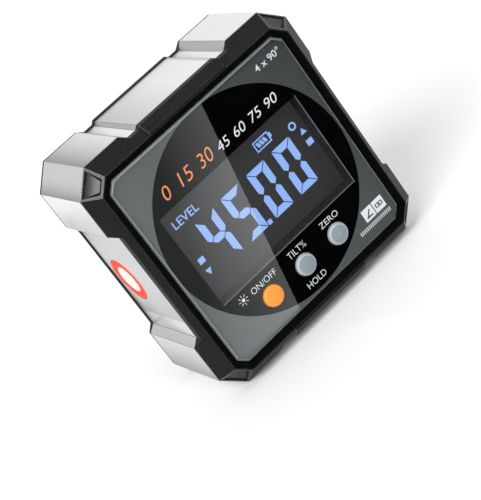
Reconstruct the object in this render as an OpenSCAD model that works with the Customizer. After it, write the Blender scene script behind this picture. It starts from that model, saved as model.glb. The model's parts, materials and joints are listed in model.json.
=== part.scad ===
// Digital angle gauge: a square aluminium frame with four magnetic sides,
// a plastic bezel with a glass window and display in front, and a battery cover behind.
// The front faces -Y, the gauge stands on its lower lands at Z = 0.

/* [Case] */
// Width and height of the square case
case_size = 60; // [59:0.5:70]
// Leg of the flat cut across each corner of the case
corner_cut = 5; // [4:0.25:6.5]
// Depth of the front bezel, from the frame to its ridge
bezel_depth = 4; // [3.5:0.25:5]
// Depth of the aluminium frame
frame_depth = 22; // [21:0.5:28]
// Depth of the back cover
cover_depth = 5; // [4.5:0.25:7]
// Leg of the flat cut across each corner of the frame's cavity
cavity_corner = 3; // [2:0.25:4]

/* [Side profile] */
// Length of the flat land at each end of a side
land_len = 9.5; // [9:0.25:10.5]
// Depth of the two grooves in the upper and lower sides
groove_depth = 1.5; // [1:0.1:2]
// Run of the slope from a land down to its groove
groove_slope = 1.6; // [1:0.1:2]
// Width of a groove's flat floor
groove_floor = 2.3; // [1.5:0.1:3]
// Depth of the plateau between the two grooves
plateau_depth = 0.8; // [0.4:0.1:0.9]
// Run of the slope from a groove up to the plateau
plateau_slope = 0.8; // [0.5:0.1:1.2]
// Depth of the long recess in the left and right sides
recess_depth = 1.9; // [1.5:0.1:2.3]
// Run of the slope from a land down to the long recess
recess_slope = 1.5; // [1:0.1:2]
// How far the plastic edges stay below the metal lands
plastic_inset = 0.1; // [0.05:0.05:0.2]
// How far the back cover's edge stands above the metal floors
cover_proud = 0.25; // [0.1:0.05:0.4]

/* [Front bezel] */
// Distance of the ridge inside the case outline
ridge_inset = 3.2; // [2.8:0.1:3.4]
// Width of the flat on top of the ridge
ridge_flat = 0.3; // [0.2:0.05:0.4]
// Height of the raised pad on the upper and lower slopes
pad_rise = 0.55; // [0.3:0.05:0.7]
// Depth of the trapezoid recess in each corner slope
corner_recess = 0.7; // [0.3:0.05:0.8]
// Width of the rim round a corner recess
corner_rim = 0.6; // [0.5:0.05:1]
// How far the ledge that carries the window reaches inside the locating lip
ledge_w = 0.4; // [0.3:0.05:0.8]
// Depth of the lips that locate the bezel and the cover in the frame
lip_depth = 2; // [1.5:0.25:2.5]
// Wall of the locating lips
lip_wall = 1.2; // [1:0.1:1.4]
// Clearance between a lip and the frame
lip_gap = 0.15; // [0.1:0.05:0.2]

/* [Window] */
// Distance of the window's edge inside the case outline
lens_inset = 4.9; // [4.6:0.05:5]
// Clearance between the window and its pocket
lens_gap = 0.1; // [0.05:0.05:0.15]
// Drop of the window's front below the ridge
lens_drop = 0.35; // [0.25:0.05:0.6]
// Thickness of the window
lens_thick = 0.65; // [0.6:0.05:0.9]
// Width of the bevel round the window's front edge
lens_bevel = 0.55; // [0.3:0.05:0.55]
// Thickness of the printed films behind the window
film_thick = 0.25; // [0.15:0.05:0.4]
// Distance from the window's side to the round dial film
dial_margin = 0.65; // [0.5:0.05:1]
// Least width of the dial film beside the display opening
dial_border = 0.8; // [0.5:0.05:1]
// Clearance between the two printed films
film_gap = 0.03; // [0.02:0.01:0.05]

/* [Display] */
// Width of the display opening
window_w = 40; // [37:0.2:40.4]
// Height of the display opening
window_h = 23.6; // [21:0.2:23.8]
// Depth of the display below the printed films
lcd_recess = 3.75; // [3:0.05:4]
// How far the display glass reaches past its opening
lcd_margin = 1; // [0.8:0.1:1.2]
// Thickness of each of the display's two glass sheets
glass_thick = 1.1; // [0.9:0.1:1.2]
// Height of the contact edge along the upper and lower side of the front glass
contact_edge = 2.1; // [2:0.1:2.4]
// Height of each rubber contact strip
strip_h = 1.6; // [1.4:0.1:1.8]
// Wall of the display holder round the glass
holder_wall = 0.8; // [0.6:0.1:1]
// Clearance between the glass, the strips, the backlight and the holder
display_gap = 0.1; // [0.05:0.05:0.15]
// Thickness of the backlight panel
backlight_thick = 2; // [1.6:0.1:2.4]

/* [Buttons] */
// Diameter of the button caps
button_d = 4.8; // [4.4:0.1:5.2]
// Distance between neighbouring buttons
button_pitch = 10; // [9.5:0.25:10.5]
// Distance of the button row below the middle of the case
button_row = 18.1; // [17.8:0.1:18.4]
// Radial clearance of a cap in the window
button_gap = 0.2; // [0.15:0.05:0.3]
// Height of a cap above the window
button_proud = 0.25; // [0.25:0.05:0.5]
// Height of the crown on a cap
button_crown = 0.25; // [0.15:0.05:0.35]
// Travel of a button
button_travel = 0.4; // [0.3:0.05:0.5]
// Radial width of the flange that keeps a cap in place
flange_w = 0.7; // [0.5:0.05:0.8]
// Thickness of the flange
flange_thick = 0.8; // [0.6:0.1:1]
// Clearance between a flange and the films in front of it
flange_gap = 0.1; // [0.05:0.05:0.15]
// Diameter of the stem under a cap
stem_d = 3; // [2.4:0.1:3.4]

/* [Key switches] */
// Width of a key switch's square body
switch_w = 6; // [5.6:0.1:6.4]
// Height of a key switch's body
switch_h = 3.4; // [3:0.1:3.6]
// Diameter of a switch plunger
plunger_d = 3.5; // [3:0.1:4]
// Height of a plunger above its switch
plunger_rise = 0.6; // [0.5:0.05:0.8]
// Length of a plunger inside its switch
plunger_sunk = 1; // [0.8:0.1:1.2]
// Radial clearance of a plunger in its switch
plunger_gap = 0.1; // [0.06:0.02:0.1]

/* [Circuit board] */
// Thickness of the circuit board
board_thick = 1.6; // [1.2:0.1:2]
// Clearance between the board's edge and the frame
board_gap = 0.5; // [0.4:0.05:0.7]
// Width of the processor
processor_w = 7; // [6:0.5:9]
// Height of the processor
processor_h = 1.2; // [0.8:0.1:1.6]
// Width of the tilt sensor
sensor_w = 5; // [4:0.25:6]
// Height of the tilt sensor
sensor_h = 1.5; // [1:0.1:1.8]
// Distance of the two chips from the middle of the board, sideways and upwards
chip_reach = 13; // [11:0.5:14]

/* [Laser] */
// Distance of the laser axis behind the frame's front
laser_setback = 15; // [13.5:0.25:15.5]
// Outer diameter of the aperture ring
ring_d = 11; // [10:0.25:12]
// Inner diameter of the aperture ring
ring_hole = 7; // [6.5:0.25:7.5]
// Thickness of the aperture ring
ring_thick = 0.8; // [0.6:0.05:1]
// Clearance of the ring, its lens and the module
laser_gap = 0.05; // [0.03:0.01:0.08]
// Diameter of a laser module's barrel
laser_d = 6.4; // [6:0.1:6.4]
// Length of a laser module
laser_len = 12; // [10:0.5:12.5]
// Diameter of the light hole in a laser module
laser_hole = 2.4; // [1.6:0.2:3]
// Depth of the light hole
laser_hole_depth = 2; // [1:0.25:3]
// Diameter of a lead wire
lead_d = 0.9; // [0.7:0.1:1]
// Bend radius of a lead wire
lead_bend = 1.4; // [1.2:0.1:1.6]
// Distance between the two leads of a module
lead_pitch = 2.4; // [1.6:0.2:3]

/* [Magnets] */
// Diameter of a magnet
magnet_d = 8; // [6:0.25:8.5]
// Thickness of a magnet
magnet_thick = 3; // [2:0.25:3.25]
// Metal left between a magnet and the land in front of it
magnet_skin = 1.5; // [1:0.1:2]
// Radial clearance of a magnet in its pocket
magnet_gap = 0.05; // [0.03:0.01:0.1]

/* [Battery bay] */
// Diameter of a cell
cell_d = 10.4; // [10:0.1:10.6]
// Length of a cell with its button
cell_len = 44.5; // [44:0.1:45]
// Diameter of the button on a cell
cell_button_d = 3.8; // [3.2:0.1:4.2]
// Height of the button on a cell
cell_button_h = 1.2; // [0.9:0.1:1.4]
// Clearance round the cells
cell_gap = 0.3; // [0.2:0.05:0.4]
// Distance between the axes of the two cells
cell_pitch = 10.8; // [10.7:0.1:11.4]
// Room for the contacts at each end of the cells
contact_room = 1.75; // [1.6:0.05:2]
// Walls of the bay along the cells
bay_wall = 1.6; // [1.4:0.1:1.8]
// Walls across the two ends of the bay
bay_end = 1.2; // [1:0.1:1.4]
// Clearance between the ends of the bay and the frame
bay_gap = 0.3; // [0.2:0.05:0.5]
// Width and height of a contact plate
plate_w = 6.6; // [6:0.1:6.8]
// Thickness of a contact plate
plate_thick = 0.4; // [0.3:0.05:0.5]
// Height of the dimple on a contact plate
dimple_h = 0.5; // [0.4:0.05:0.6]
// Diameter of the dimple on a contact plate
dimple_d = 3; // [2.4:0.1:3.4]
// Wire of the contact springs
spring_wire = 0.5; // [0.4:0.05:0.55]
// Diameter of a contact spring at its plate, to the middle of the wire
spring_base_d = 6; // [5.4:0.1:6]
// Diameter of a contact spring at the cell, to the middle of the wire
spring_tip_d = 3.6; // [3.2:0.1:4.2]
// Turns of a contact spring
spring_turns = 2.5; // [2:0.25:2.75]

/* [Back cover] */
// Thickness of the back panel
panel_thick = 1.6; // [1.4:0.1:2]
// Thickness of the cover's rim, which follows the stepped sides
cover_rim = 0.9; // [0.6:0.1:1.4]
// Distance of the raised back inside the deepest part of the sides
cover_step = 0.2; // [0.1:0.05:0.4]
// Run of the slope round the raised back
cover_slope = 1.6; // [1.2:0.1:2]
// Thickness of the battery door
door_thick = 1.4; // [1.2:0.1:1.6]
// Clearance round the battery door
door_gap = 0.2; // [0.15:0.05:0.25]
// How far the door reaches over the walls of the bay
door_lap = 0.9; // [0.7:0.05:1]
// How far the door reaches over the bay's lower end
door_foot = 0.6; // [0.4:0.05:0.7]
// Distance of the door's hinged edge inside the bay's upper end
door_head = 0.4; // [0.3:0.05:0.5]
// Width of each of the door's two hinge tongues
tongue_w = 1.4; // [1.2:0.1:1.5]
// Thickness of a hinge tongue
tongue_thick = 0.8; // [0.6:0.05:0.9]
// Reach of a hinge tongue past the door's edge
tongue_reach = 1.2; // [0.9:0.05:1.3]
// Width of the latch finger in the door
latch_w = 9; // [7:0.5:11]
// Length of the latch finger
latch_len = 7; // [5:0.5:9]
// Width of the slits beside the latch finger
latch_slit = 0.7; // [0.5:0.05:0.9]
// Number of grip grooves on the latch finger
grip_count = 3; // [2:1:4]
// Width of a grip groove
grip_w = 0.7; // [0.5:0.05:0.9]
// Length of a grip groove
grip_len = 7; // [5:0.5:8]
// Depth of a grip groove
grip_depth = 0.3; // [0.2:0.05:0.4]
// Radius of the thumb scoop below the door
scoop_r = 4.5; // [3.5:0.25:5.5]
// Depth of the thumb scoop
scoop_depth = 0.9; // [0.6:0.1:1.2]

/* [Case screws] */
// Distance of the screws inside the frame's cavity, sideways and upwards
screw_inset = 4.5; // [4.2:0.1:4.9]
// Diameter of the bosses that the screws run through
boss_d = 6.4; // [5.8:0.1:6.6]
// Diameter of the pin on a boss that locates the board
board_pin_d = 4.4; // [4:0.1:4.6]
// How far a board pin stays below the back of the board
pin_drop = 0.1; // [0.05:0.05:0.2]
// Clearance of the board on its pins
board_pin_gap = 0.15; // [0.1:0.05:0.2]
// Diameter of a screw's shank
screw_d = 2.2; // [1.8:0.1:2.4]
// Radial clearance of a screw in the cover
screw_gap = 0.3; // [0.2:0.05:0.4]
// Radial clearance of a screw in the bezel's boss
thread_gap = 0.05; // [0.03:0.01:0.1]
// Length of a screw inside the bezel's boss
thread_len = 5; // [4:0.25:5.5]
// Diameter of a screw's head
head_d = 4.2; // [3.8:0.1:4.4]
// Height of a screw's head
head_h = 1.5; // [1.2:0.1:1.7]
// Depth of the hole that a head sits in
head_sink = 2; // [1.8:0.1:2.4]
// Radial clearance of a head in its hole
head_gap = 0.25; // [0.15:0.05:0.35]
// Width of the cross slot in a head
slot_w = 0.7; // [0.5:0.05:0.9]
// Length of the cross slot
slot_len = 2.9; // [2.4:0.1:3.2]
// Depth of the cross slot
slot_depth = 0.8; // [0.5:0.05:1]

/* [Hidden] */
$fn = 64;
// Overlap of a cut past the face it opens
cut = 0.5;
// Number of straight pieces in one turn of a spring, and round its wire
spring_steps = 16;
wire_steps = 6;

half = case_size / 2;
full_depth = bezel_depth + frame_depth + cover_depth;
diagonal_face = (2 * half - corner_cut) / sqrt(2);
// Growth of a corner cut's leg for each unit that its outline is drawn in
cut_rate = 2 - sqrt(2);

// Stations along the sides, measured from the middle of a side
land_start = half - corner_cut - land_len;
land_middle = land_start + land_len / 2;
groove_start = land_start - groove_slope;
groove_end = groove_start - groove_floor;
plateau_half = groove_end - plateau_slope;
recess_half = land_start - recess_slope;
recess_floor = half - recess_depth;

// Levels from front to back
y_ridge = -full_depth / 2;
y_seam = y_ridge + bezel_depth;
y_cover = y_seam + frame_depth;
y_back = y_cover + cover_depth;
y_lens = y_ridge + lens_drop;
y_film = y_lens + lens_thick;
y_ledge = y_film + film_thick;
y_lcd = y_ledge + lcd_recess;
y_rear_glass = y_lcd + glass_thick;
y_lcd_back = y_rear_glass + glass_thick;
y_board = y_lcd_back + display_gap + backlight_thick;
y_board_back = y_board + board_thick;
y_flange = y_ledge + flange_gap;
y_switch = y_board - switch_h;
y_plunger = y_switch - plunger_rise;
y_laser = y_seam + laser_setback;
y_frame_middle = y_seam + frame_depth / 2;
y_panel = y_back - panel_thick;
y_door = y_back - door_thick;
y_cell = y_door - cell_gap - cell_d / 2;
y_bay = y_cell - cell_d / 2 - cell_gap;
y_bay_back = y_bay - bay_wall;

// Battery bay and the frame's cavity round it
bay_half_w = cell_pitch / 2 + cell_d / 2 + cell_gap;
bay_half_l = cell_len / 2 + contact_room;
cavity_half = bay_half_l + bay_end + bay_gap;
door_half_w = bay_half_w + door_lap;
door_top = bay_half_l - door_head;
door_bottom = -bay_half_l - door_foot;
door_axis_y = y_back - door_thick / 2;
door_axis_z = door_top - door_thick / 2;
tongue_x = bay_half_w - door_gap - tongue_w / 2;
y_tongue = y_panel - door_gap - tongue_thick;
spring_len = 2 * contact_room - 2 * plate_thick - dimple_h;
cell_shift = contact_room - plate_thick - dimple_h;

// Window, display and buttons
dial_r = half - lens_inset - dial_margin;
lcd_w = window_w + 2 * lcd_margin;
lcd_h = window_h + 2 * lcd_margin;
holder_gap_w = lcd_w + 2 * display_gap;
holder_gap_h = lcd_h + 2 * display_gap;
holder_w = holder_gap_w + 2 * holder_wall;
holder_h = holder_gap_h + 2 * holder_wall;
rear_glass_h = lcd_h - 2 * contact_edge;
strip_z = lcd_h / 2 - display_gap - strip_h / 2;
backlight_h = 2 * (strip_z - strip_h / 2 - display_gap);
button_hole_d = button_d + 2 * button_gap;
flange_d = button_hole_d + 2 * flange_w;

screw_at = cavity_half - screw_inset;
board_hole_d = board_pin_d + 2 * board_pin_gap;
laser_face = recess_floor - ring_thick;
laser_rear = laser_face - laser_len;

// Points of one quarter, repeated in all four
function four_quarters(q) = concat(
    q,
    [for (i = [len(q) - 1:-1:0]) [-q[i].x, q[i].y]],
    [for (p = q) -p],
    [for (i = [len(q) - 1:-1:0]) [q[i].x, -q[i].y]]
);

// Distance from the middle of the case to one of its eight sides
function face_distance(k) = k % 2 == 0 ? half : diagonal_face;

// Value at y of a line through two points
function line_at(y, y0, v0, y1, v1) = v0 + (v1 - v0) * (y - y0) / (y1 - y0);

module centred() {
    translate([0, 0, half]) children();
}

// A flat outline given depth between two levels
module slab(y0, y1) {
    translate([0, y1, 0]) rotate([90, 0, 0]) linear_extrude(y1 - y0) children();
}

module rod_y(d, y0, y1) {
    slab(y0, y1) circle(d = d);
}

module rod_x(d, x0, x1) {
    translate([x0, 0, 0]) rotate([0, 90, 0]) cylinder(d = d, h = x1 - x0);
}

module at_screws() {
    for (x = [-screw_at, screw_at])
        for (z = [-screw_at, screw_at])
            translate([x, 0, z]) children();
}

// A piece drawn on the laser axis of the right side, or mirrored to the left one
module on_side(sign) {
    mirror([sign < 0 ? 1 : 0, 0, 0]) translate([0, y_laser, 0]) children();
}

module at_button(place) {
    translate([place * button_pitch, 0, -button_row]) children();
}

// The stepped outline of the case: lands drawn in by one inset and floors by another
module case_outline(land_inset, floor_inset) {
    side = half - land_inset;
    corner = side - corner_cut + cut_rate * land_inset;
    polygon(four_quarters([
        [recess_floor - floor_inset, recess_half],
        [side, land_start],
        [side, corner],
        [corner, side],
        [land_start, side],
        [groove_start, half - groove_depth - floor_inset],
        [groove_end, half - groove_depth - floor_inset],
        [plateau_half, half - plateau_depth - floor_inset]
    ]));
}

module cut_square(side, leg) {
    polygon(four_quarters([[side, side - leg], [side - leg, side]]));
}

module case_octagon(inset) {
    cut_square(half - inset, corner_cut - cut_rate * inset);
}

module cavity_shape(gap) {
    cut_square(cavity_half - gap, cavity_corner - cut_rate * gap);
}

// An octagon whose eight sides lean from one inset to another
module leaning_octagon(y0, inset0, y1, inset1) {
    reach = 2 * case_size;
    intersection_for (k = [0:7])
        rotate([0, 45 * k, 0])
            linear_extrude(reach, center = true)
                polygon([
                    [-case_size, y0],
                    [face_distance(k) - inset0, y0],
                    [face_distance(k) - inset1, y1],
                    [-case_size, y1]
                ]);
}

// Lip that drops into the frame's cavity
module locating_lip(y0, y1) {
    slab(y0, y1) difference() {
        cavity_shape(lip_gap);
        cavity_shape(lip_gap + lip_wall);
    }
}

// Sloped outside of the bezel with the two raised pads
module bezel_slopes() {
    leaning_octagon(y_ridge, ridge_inset, y_seam, plastic_inset);
    intersection() {
        leaning_octagon(y_ridge, ridge_inset - pad_rise, y_seam, plastic_inset - pad_rise);
        slab(y_ridge, y_seam) square([2 * plateau_half, case_size], center = true);
    }
}

// Trapezoid pocket sunk square into each corner slope
module corner_pockets() {
    outer_r = diagonal_face - plastic_inset;
    inner_r = diagonal_face - ridge_inset;
    lean = atan2(y_ridge - y_seam, inner_r - outer_r);
    slope_len = norm([y_ridge - y_seam, inner_r - outer_r]);
    outer_w = corner_cut / sqrt(2) - corner_rim;
    inner_w = (corner_cut - cut_rate * ridge_inset) / sqrt(2) - corner_rim;
    for (turn = [45:90:315])
        rotate([0, turn, 0])
            translate([outer_r, y_seam, 0])
                rotate([0, 0, lean])
                    slab(-corner_recess, cut)
                        polygon([
                            [corner_rim / 2, -outer_w],
                            [slope_len - corner_rim, -inner_w],
                            [slope_len - corner_rim, inner_w],
                            [corner_rim / 2, outer_w]
                        ]);
}

module bezel_shell() {
    pocket = lens_inset - lens_gap;
    y_over = y_ridge - cut;
    mouth = line_at(y_over, y_ridge, ridge_inset + ridge_flat, y_lens, pocket);
    difference() {
        intersection() {
            slab(y_ridge, y_seam) case_outline(plastic_inset, 0);
            bezel_slopes();
        }
        leaning_octagon(y_over, mouth, y_lens, pocket);
        slab(y_lens - cut, y_ledge) case_octagon(pocket);
        slab(y_ledge - cut, y_seam + cut) cavity_shape(lip_gap + lip_wall + ledge_w);
        corner_pockets();
    }
}

module frame() {
    color("#d8dadd") centred() difference() {
        slab(y_seam, y_cover) case_outline(0, 0);
        slab(y_seam - cut, y_cover + cut) cavity_shape(0);
        for (turn = [0:90:270])
            rotate([0, turn, 0])
                for (z = [-land_middle, land_middle])
                    translate([0, y_frame_middle, z])
                        rod_x(magnet_d + 2 * magnet_gap, cavity_half - cut, half - magnet_skin);
        for (sign = [-1, 1])
            on_side(sign) {
                rod_x(laser_d + 2 * laser_gap, cavity_half - cut, laser_face + cut);
                rod_x(ring_d + 2 * laser_gap, laser_face, half);
            }
    }
}

module front_bezel() {
    color("#27282b") centred() difference() {
        union() {
            bezel_shell();
            locating_lip(y_seam - cut, y_seam + lip_depth);
            at_screws() {
                rod_y(boss_d, y_ledge, y_board);
                rod_y(board_pin_d, y_board - cut, y_board_back - pin_drop);
            }
        }
        at_screws() rod_y(screw_d + 2 * thread_gap, y_board - thread_len - cut, y_board_back);
        slab(y_ledge, y_board) square([holder_w, holder_h] + [2, 2] * display_gap, center = true);
    }
}

module window_lens() {
    edge = lens_inset + lens_bevel;
    color("#cfe3e6", 0.35) centred() difference() {
        intersection() {
            slab(y_lens, y_film) case_octagon(lens_inset);
            leaning_octagon(y_lens, edge, y_film, edge - lens_thick);
        }
        for (place = [-1:1]) at_button(place) rod_y(button_hole_d, y_lens - cut, y_film + cut);
    }
}

// Round dial that also borders the display opening
module dial_shape(grow) {
    circle(r = dial_r + grow, $fn = 128);
    square([window_w, window_h] + [2, 2] * (dial_border + grow), center = true);
}

module corner_film() {
    color("#6f7779") centred() slab(y_film, y_ledge) difference() {
        case_octagon(lens_inset);
        dial_shape(film_gap);
    }
}

module dial_film() {
    color("#0d0e10") centred() difference() {
        slab(y_film, y_ledge) difference() {
            dial_shape(0);
            square([window_w, window_h], center = true);
        }
        for (place = [-1:1]) at_button(place) rod_y(button_hole_d, y_film - cut, y_ledge + cut);
    }
}

module lcd_holder() {
    color("#17181a") centred() difference() {
        slab(y_ledge, y_board) square([holder_w, holder_h], center = true);
        slab(y_ledge - cut, y_lcd + cut) square([window_w, window_h], center = true);
        slab(y_lcd, y_board + cut) square([holder_gap_w, holder_gap_h], center = true);
    }
}

module lcd_panel() {
    color("#3b4046") centred() {
        slab(y_lcd, y_rear_glass) square([lcd_w, lcd_h], center = true);
        slab(y_rear_glass, y_lcd_back) square([lcd_w, rear_glass_h], center = true);
    }
}

module backlight() {
    color("#f1f1ea") centred()
        slab(y_board - backlight_thick, y_board) square([window_w, backlight_h], center = true);
}

module contact_strips() {
    color("#b8556a") centred()
        for (z = [-strip_z, strip_z])
            translate([0, 0, z]) slab(y_rear_glass, y_board) square([window_w, strip_h], center = true);
}

// Half section of a button, turned about its axis with the crown upwards
module button_half(height, under) {
    crown_r = (pow(button_d / 2, 2) + pow(button_crown, 2)) / (2 * button_crown);
    union() {
        square([flange_d / 2, flange_thick]);
        square([button_d / 2, height - button_crown]);
        translate([0, -under]) square([stem_d / 2, under + flange_thick]);
        intersection() {
            square([button_d / 2, height]);
            translate([0, height - crown_r]) circle(r = crown_r, $fn = 128);
        }
    }
}

module button(place) {
    foot = y_flange + flange_thick;
    centred() at_button(place) translate([0, foot, 0]) rotate([90, 0, 0])
        rotate_extrude() button_half(foot - y_lens + button_proud, y_plunger - foot);
}

module power_button() {
    color("#f7a641") button(-1);
}

module hold_button() {
    color("#adbcc1") button(0);
}

module zero_button() {
    color("#adbcc1") button(1);
}

module plunger(place) {
    centred() at_button(place) rod_y(plunger_d, y_plunger, y_switch + plunger_sunk);
}

module power_plunger() {
    color("#222326") plunger(-1);
}

module hold_plunger() {
    color("#222326") plunger(0);
}

module zero_plunger() {
    color("#222326") plunger(1);
}

module key_switches() {
    well = plunger_sunk + 2 * button_travel;
    color("#9fa3a6") centred()
        for (place = [-1:1])
            at_button(place) difference() {
                slab(y_switch, y_board) square(switch_w, center = true);
                rod_y(plunger_d + 2 * plunger_gap, y_switch - cut, y_switch + well);
            }
}

module main_board() {
    color("#1f5a3a") centred() difference() {
        slab(y_board, y_board_back) cavity_shape(board_gap);
        at_screws() rod_y(board_hole_d, y_board - cut, y_board_back + cut);
    }
}

module chip(side, height, x, z) {
    centred() translate([x, 0, z])
        slab(y_board_back, y_board_back + height) square(side, center = true);
}

module processor() {
    color("#151618") chip(processor_w, processor_h, -chip_reach, chip_reach);
}

module tilt_sensor() {
    color("#2c2e32") chip(sensor_w, sensor_h, chip_reach, -chip_reach);
}

module laser_module() {
    difference() {
        rod_x(laser_d, laser_rear, laser_face);
        rod_x(laser_hole, laser_face - laser_hole_depth, laser_face + cut);
    }
}

module left_laser() {
    color("#c9a24a") centred() on_side(-1) laser_module();
}

module right_laser() {
    color("#c9a24a") centred() on_side(1) laser_module();
}

module aperture_ring() {
    difference() {
        rod_x(ring_d, laser_face, recess_floor);
        rod_x(ring_hole, laser_face - cut, recess_floor + cut);
    }
}

module left_aperture_ring() {
    color("#e8452c") centred() on_side(-1) aperture_ring();
}

module right_aperture_ring() {
    color("#e8452c") centred() on_side(1) aperture_ring();
}

module aperture_lens() {
    rod_x(ring_hole - 2 * laser_gap, laser_face, recess_floor - laser_gap);
}

module left_aperture_lens() {
    color("#f3dcd8", 0.5) centred() on_side(-1) aperture_lens();
}

module right_aperture_lens() {
    color("#f3dcd8", 0.5) centred() on_side(1) aperture_lens();
}

// A wire that leaves along -X, bends once and runs straight to the board
module bent_lead(run) {
    translate([0, -lead_bend, 0]) rotate([0, 0, 90])
        rotate_extrude(angle = 90) translate([lead_bend, 0]) circle(d = lead_d, $fn = 24);
    translate([-lead_bend, 0, 0]) rod_y(lead_d, -run, -lead_bend, $fn = 24);
}

module laser_leads() {
    color("#b3262b") centred()
        for (sign = [-1, 1])
            on_side(sign)
                for (z = [-lead_pitch / 2, lead_pitch / 2])
                    translate([laser_rear, 0, z]) bent_lead(y_laser - y_board_back);
}

module magnets() {
    seat = half - magnet_skin;
    color("#8b8f94") centred()
        for (turn = [0:90:270])
            rotate([0, turn, 0])
                for (z = [-land_middle, land_middle])
                    translate([0, y_frame_middle, z]) rod_x(magnet_d, seat - magnet_thick, seat);
}

// Thin rim in the stepped outline, and a raised back with eight leaning sides
module cover_body() {
    slab(y_cover, y_cover + cover_rim) case_outline(plastic_inset, -cover_proud);
    leaning_octagon(y_cover, recess_depth + cover_step, y_back, recess_depth + cover_step + cover_slope);
}

module tongue_places() {
    for (x = [-tongue_x, tongue_x]) translate([x, 0, 0]) children();
}

module back_cover() {
    bay_w = 2 * (bay_half_w + bay_wall);
    bay_l = 2 * (bay_half_l + bay_end);
    color("#27282b") centred() difference() {
        union() {
            difference() {
                cover_body();
                slab(y_cover - cut, y_panel) cavity_shape(lip_gap + lip_wall);
            }
            locating_lip(y_cover - lip_depth, y_cover + cut);
            slab(y_bay_back, y_panel + cut) square([bay_w, bay_l], center = true);
            at_screws() rod_y(boss_d, y_board_back, y_panel + cut);
        }
        slab(y_bay, y_door) square([2 * bay_half_w, 2 * bay_half_l], center = true);
        translate([0, 0, (door_top + door_bottom) / 2])
            slab(y_door - door_gap, y_back + cut)
                square([2 * (door_half_w + door_gap), door_top - door_bottom + 2 * door_gap], center = true);
        tongue_places()
            translate([0, 0, bay_half_l])
                slab(y_tongue - 2 * tongue_thick, y_panel)
                    square([tongue_w + 2 * door_gap, 2 * (bay_end + cut)], center = true);
        translate([0, 0, door_bottom]) rod_y(2 * scoop_r, y_back - scoop_depth, y_back + cut);
        at_screws() {
            rod_y(screw_d + 2 * screw_gap, y_board_back - cut, y_back - head_sink + cut);
            rod_y(head_d + 2 * head_gap, y_back - head_sink, y_back + cut);
        }
    }
}

module battery_door() {
    plate_l = door_axis_z - door_bottom;
    finger_z = door_bottom + latch_len;
    color("#2b2c2f") centred() difference() {
        union() {
            translate([0, 0, door_bottom + plate_l / 2])
                slab(y_door, y_back) square([2 * door_half_w, plate_l], center = true);
            translate([0, door_axis_y, door_axis_z]) rod_x(door_thick, -door_half_w, door_half_w);
            tongue_places() {
                translate([0, 0, door_axis_z - tongue_thick])
                    slab(y_tongue, y_door + door_gap) square([tongue_w, 2 * tongue_thick], center = true);
                translate([0, 0, (door_axis_z + door_top + tongue_reach) / 2 - tongue_thick / 2])
                    slab(y_tongue, y_tongue + tongue_thick)
                        square([tongue_w, door_top + tongue_reach - door_axis_z + tongue_thick], center = true);
            }
        }
        for (x = [-1, 1] * (latch_w + latch_slit) / 2)
            translate([x, 0, door_bottom + (latch_len - cut) / 2])
                slab(y_door - cut, y_back + cut) square([latch_slit, latch_len + cut], center = true);
        for (i = [1:grip_count])
            translate([0, 0, line_at(i, 0, door_bottom, grip_count + 1, finger_z)])
                slab(y_back - grip_depth, y_back + cut) square([grip_len, grip_w], center = true);
    }
}

// Half section of a cell, turned about its axis with the button upwards
module cell_body() {
    can = cell_len - cell_button_h;
    rotate_extrude() {
        square([cell_d / 2, can]);
        square([cell_button_d / 2, cell_len]);
    }
}

module left_cell() {
    color("#c8641e") centred()
        translate([-cell_pitch / 2, y_cell, cell_shift - cell_len / 2]) cell_body();
}

module right_cell() {
    color("#c8641e") centred() mirror([0, 0, 1])
        translate([cell_pitch / 2, y_cell, cell_shift - cell_len / 2]) cell_body();
}

// Flat plate against the upper end of the bay
module contact_plate(width) {
    translate([0, y_cell, bay_half_l - plate_thick / 2])
        cube([width, plate_w, plate_thick], center = true);
}

module contact_dimple() {
    translate([0, y_cell, bay_half_l - plate_thick - dimple_h])
        cylinder(d = dimple_d, h = dimple_h + plate_thick / 2);
}

// Middle of the spring's wire after a share t of its turns
function coil_point(t) = [
    (spring_base_d + (spring_tip_d - spring_base_d) * t) / 2 * cos(360 * spring_turns * t),
    (spring_base_d + (spring_tip_d - spring_base_d) * t) / 2 * sin(360 * spring_turns * t),
    -spring_wire / 4 - (spring_len - spring_wire) * t
];

// Cone-shaped coil that hangs from a plate at Z = 0
module contact_coil() {
    rings = ceil(spring_steps * spring_turns);
    points = [
        for (i = [0:rings])
            let (middle = coil_point(i / rings), turn = 360 * spring_turns * i / rings)
                for (j = [0:wire_steps - 1])
                    let (a = 360 * j / wire_steps, out = spring_wire / 2 * cos(a))
                        middle + [out * cos(turn), out * sin(turn), spring_wire / 2 * sin(a)]
    ];
    sides = [
        for (i = [0:rings - 1])
            for (j = [0:wire_steps - 1])
                let (k = (j + 1) % wire_steps, a = i * wire_steps, b = a + wire_steps)
                    [a + j, a + k, b + k, b + j]
    ];
    start = [for (j = [wire_steps - 1:-1:0]) j];
    end = [for (j = [0:wire_steps - 1]) rings * wire_steps + j];
    polyhedron(points, concat(sides, [start, end]), convexity = 8);
}

module plate_coil() {
    translate([0, y_cell, bay_half_l - plate_thick]) contact_coil();
}

module plus_contact() {
    color("#c7cacd") centred() translate([-cell_pitch / 2, 0, 0]) {
        contact_plate(plate_w);
        contact_dimple();
    }
}

module minus_contact() {
    color("#c7cacd") centred() translate([cell_pitch / 2, 0, 0]) {
        contact_plate(plate_w);
        plate_coil();
    }
}

module bridge_contact() {
    color("#c7cacd") centred() rotate([0, 180, 0]) {
        contact_plate(plate_w + cell_pitch);
        translate([-cell_pitch / 2, 0, 0]) contact_dimple();
        translate([cell_pitch / 2, 0, 0]) plate_coil();
    }
}

// One lead from each upper contact, down the outside of the bay to the board
module battery_leads() {
    color("#222427") centred()
        for (sign = [-1, 1])
            translate([sign * cell_pitch / 2, 0, bay_half_l - lead_d])
                rod_y(lead_d, y_board_back, y_bay_back, $fn = 24);
}

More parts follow.
